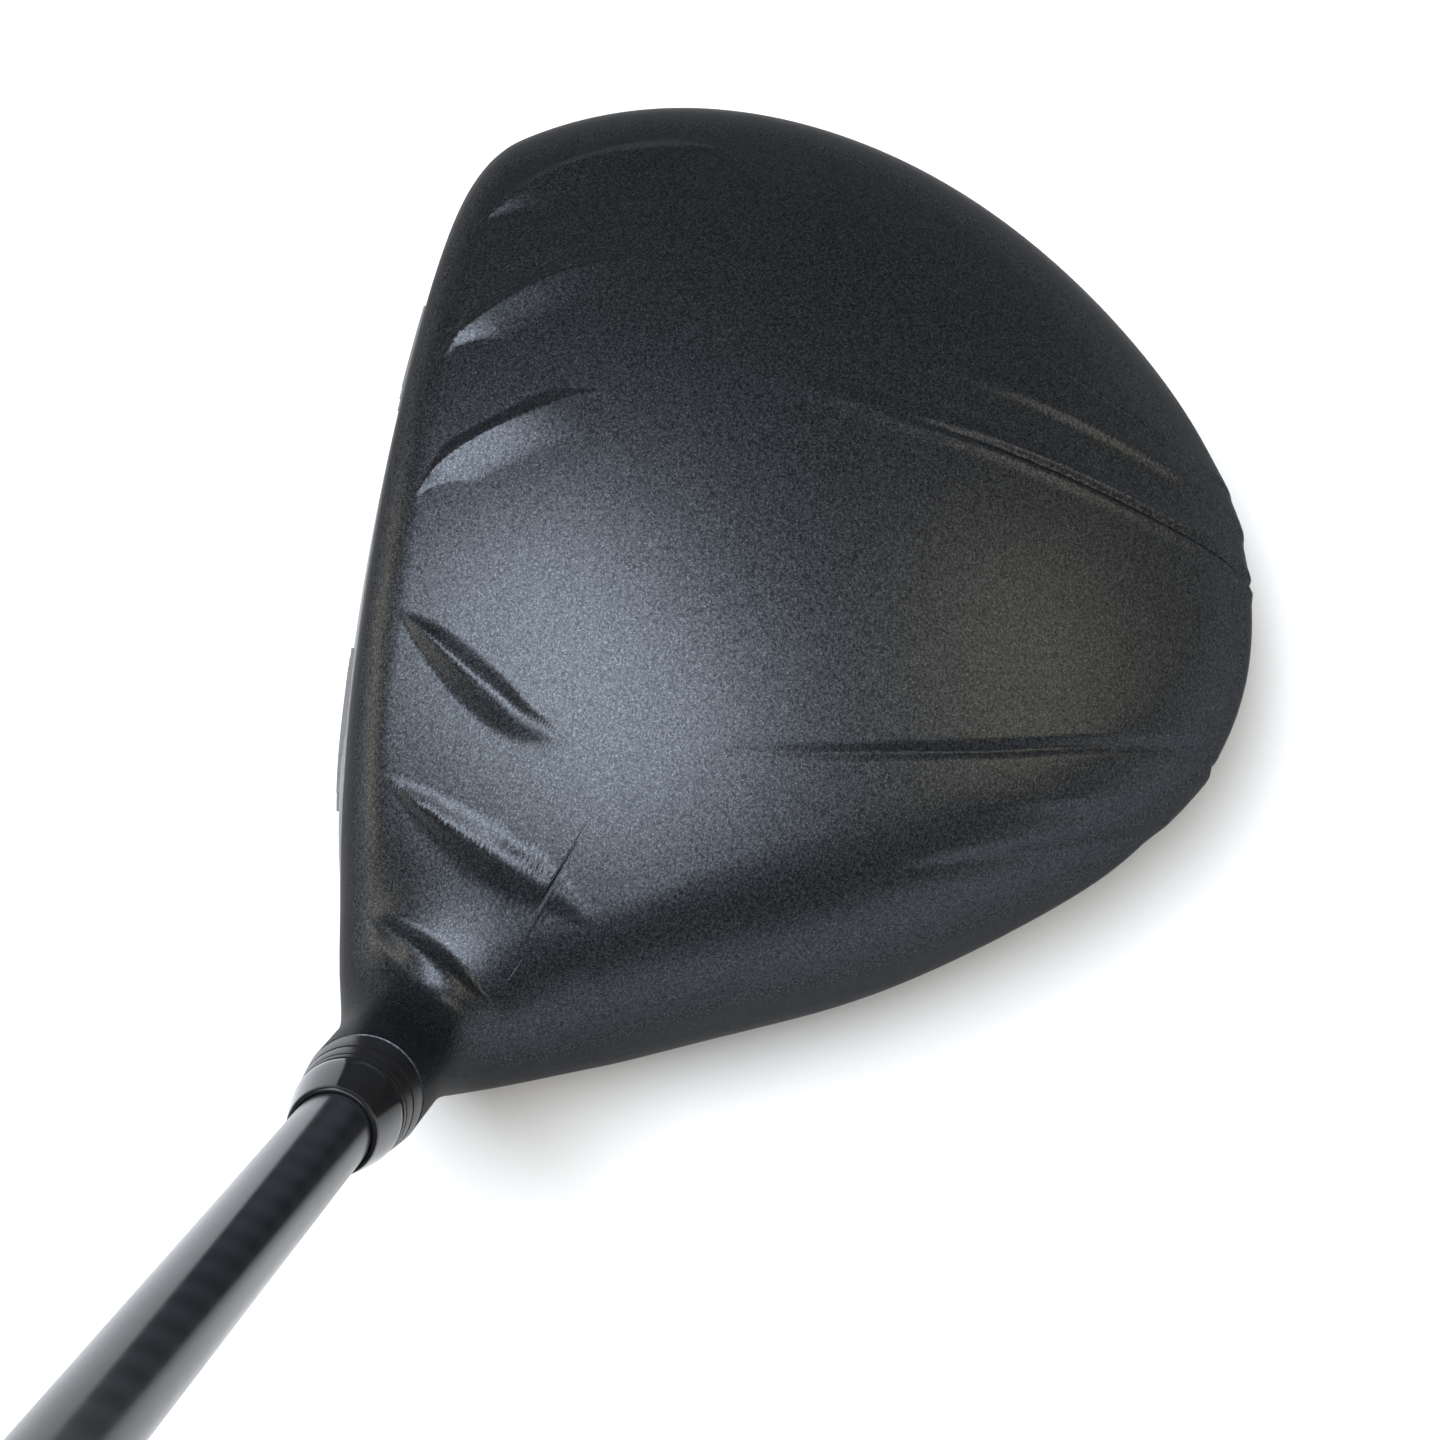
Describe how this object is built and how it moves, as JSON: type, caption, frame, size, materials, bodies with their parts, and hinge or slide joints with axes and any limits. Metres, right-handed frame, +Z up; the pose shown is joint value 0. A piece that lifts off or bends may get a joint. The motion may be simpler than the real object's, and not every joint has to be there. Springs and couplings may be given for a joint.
{
  "type": "golf driver",
  "caption": "Right-handed golf driver: hollow titanium head with ridged crown, adjustable hosel adapter, screwed rear weight, tapered graphite shaft and rubber grip.",
  "frame": {"origin": "centre of the flat rest pad under the sole, club at address", "axes": "+Z up, face towards -Y, tail of the head towards +Y, toe towards -X, shaft rises towards +X at a 59 degree lie"},
  "size_m": [0.7125, 0.1092, 0.9972],
  "materials": {
    "crown_paint": "satin, fine metallic grain",
    "body_paint": "satin",
    "face_metal": "brushed, dark",
    "adapter_black": "anodised, gloss black",
    "ferrule_black": "polished black",
    "shaft_black": "clear-coated black graphite",
    "bolt_steel": "black oxide",
    "bright_steel": "turned",
    "retainer_nylon": "natural nylon",
    "weight_metal": "turned, satin",
    "pad_rubber": "matte",
    "brass": "turned",
    "cork": "cork",
    "grip_rubber": "matte, textured",
    "cap_rubber": "semi-matte",
    "tape_paper": "paper tape"
  },
  "bodies": {
    "shaft_assembly": {"shaft": "shaft_black", "tip_weight": "brass", "tip_plug": "cork", "adapter_sleeve": "adapter_black", "ferrule": "ferrule_black", "grip_tape": "tape_paper", "grip": "grip_rubber", "grip_cap": "cap_rubber"},
    "index_ring": {"adapter_ring": "adapter_black"},
    "head": {"crown_shell": "crown_paint", "sole_body": "body_paint", "face_plate": "face_metal", "hosel_neck": "crown_paint"},
    "bolt_slider": {"bolt_washer": "bright_steel", "bolt_retainer_ring": "retainer_nylon"},
    "bolt": {"hosel_bolt": "bolt_steel"},
    "weight": {"rear_weight": "weight_metal", "weight_retaining_clip": "bright_steel", "weight_pad": "pad_rubber"},
    "weight_bolt": {"weight_screw": "bolt_steel"}
  },
  "joints": [
    {"name": "loft_turn", "type": "hinge", "parent": "shaft_assembly", "child": "index_ring", "pos_m": [0.07311, -0.01, 0.06343], "axis": [0.515, 0, 0.8572], "range_deg": [-180, 180]},
    {"name": "head_pull", "type": "slide", "parent": "index_ring", "child": "head", "axis": [-0.515, 0, -0.8572], "range_m": [0, 0.038]},
    {"name": "bolt_withdraw", "type": "slide", "parent": "head", "child": "bolt_slider", "axis": [-0.515, 0, -0.8572], "range_m": [0, 0.0064]},
    {"name": "bolt_turn", "type": "hinge", "parent": "bolt_slider", "child": "bolt", "pos_m": [0.04118, -0.01, 0.01029], "axis": [-0.515, 0, -0.8572], "range_deg": [0, 2880]},
    {"name": "weight_lift", "type": "slide", "parent": "head", "child": "weight", "axis": [0, 0.3469, -0.9379], "range_m": [0, 0.0056]},
    {"name": "weight_screw_turn", "type": "hinge", "parent": "weight", "child": "weight_bolt", "pos_m": [-0.005, 0.063, 0.0114], "axis": [0, 0.3469, -0.9379], "range_deg": [0, 2520]}
  ],
  "couplings": [
    {"joint": "bolt_turn", "follows": "bolt_withdraw", "rad_per_m": 7854},
    {"joint": "weight_screw_turn", "follows": "weight_lift", "rad_per_m": 7854}
  ]
}
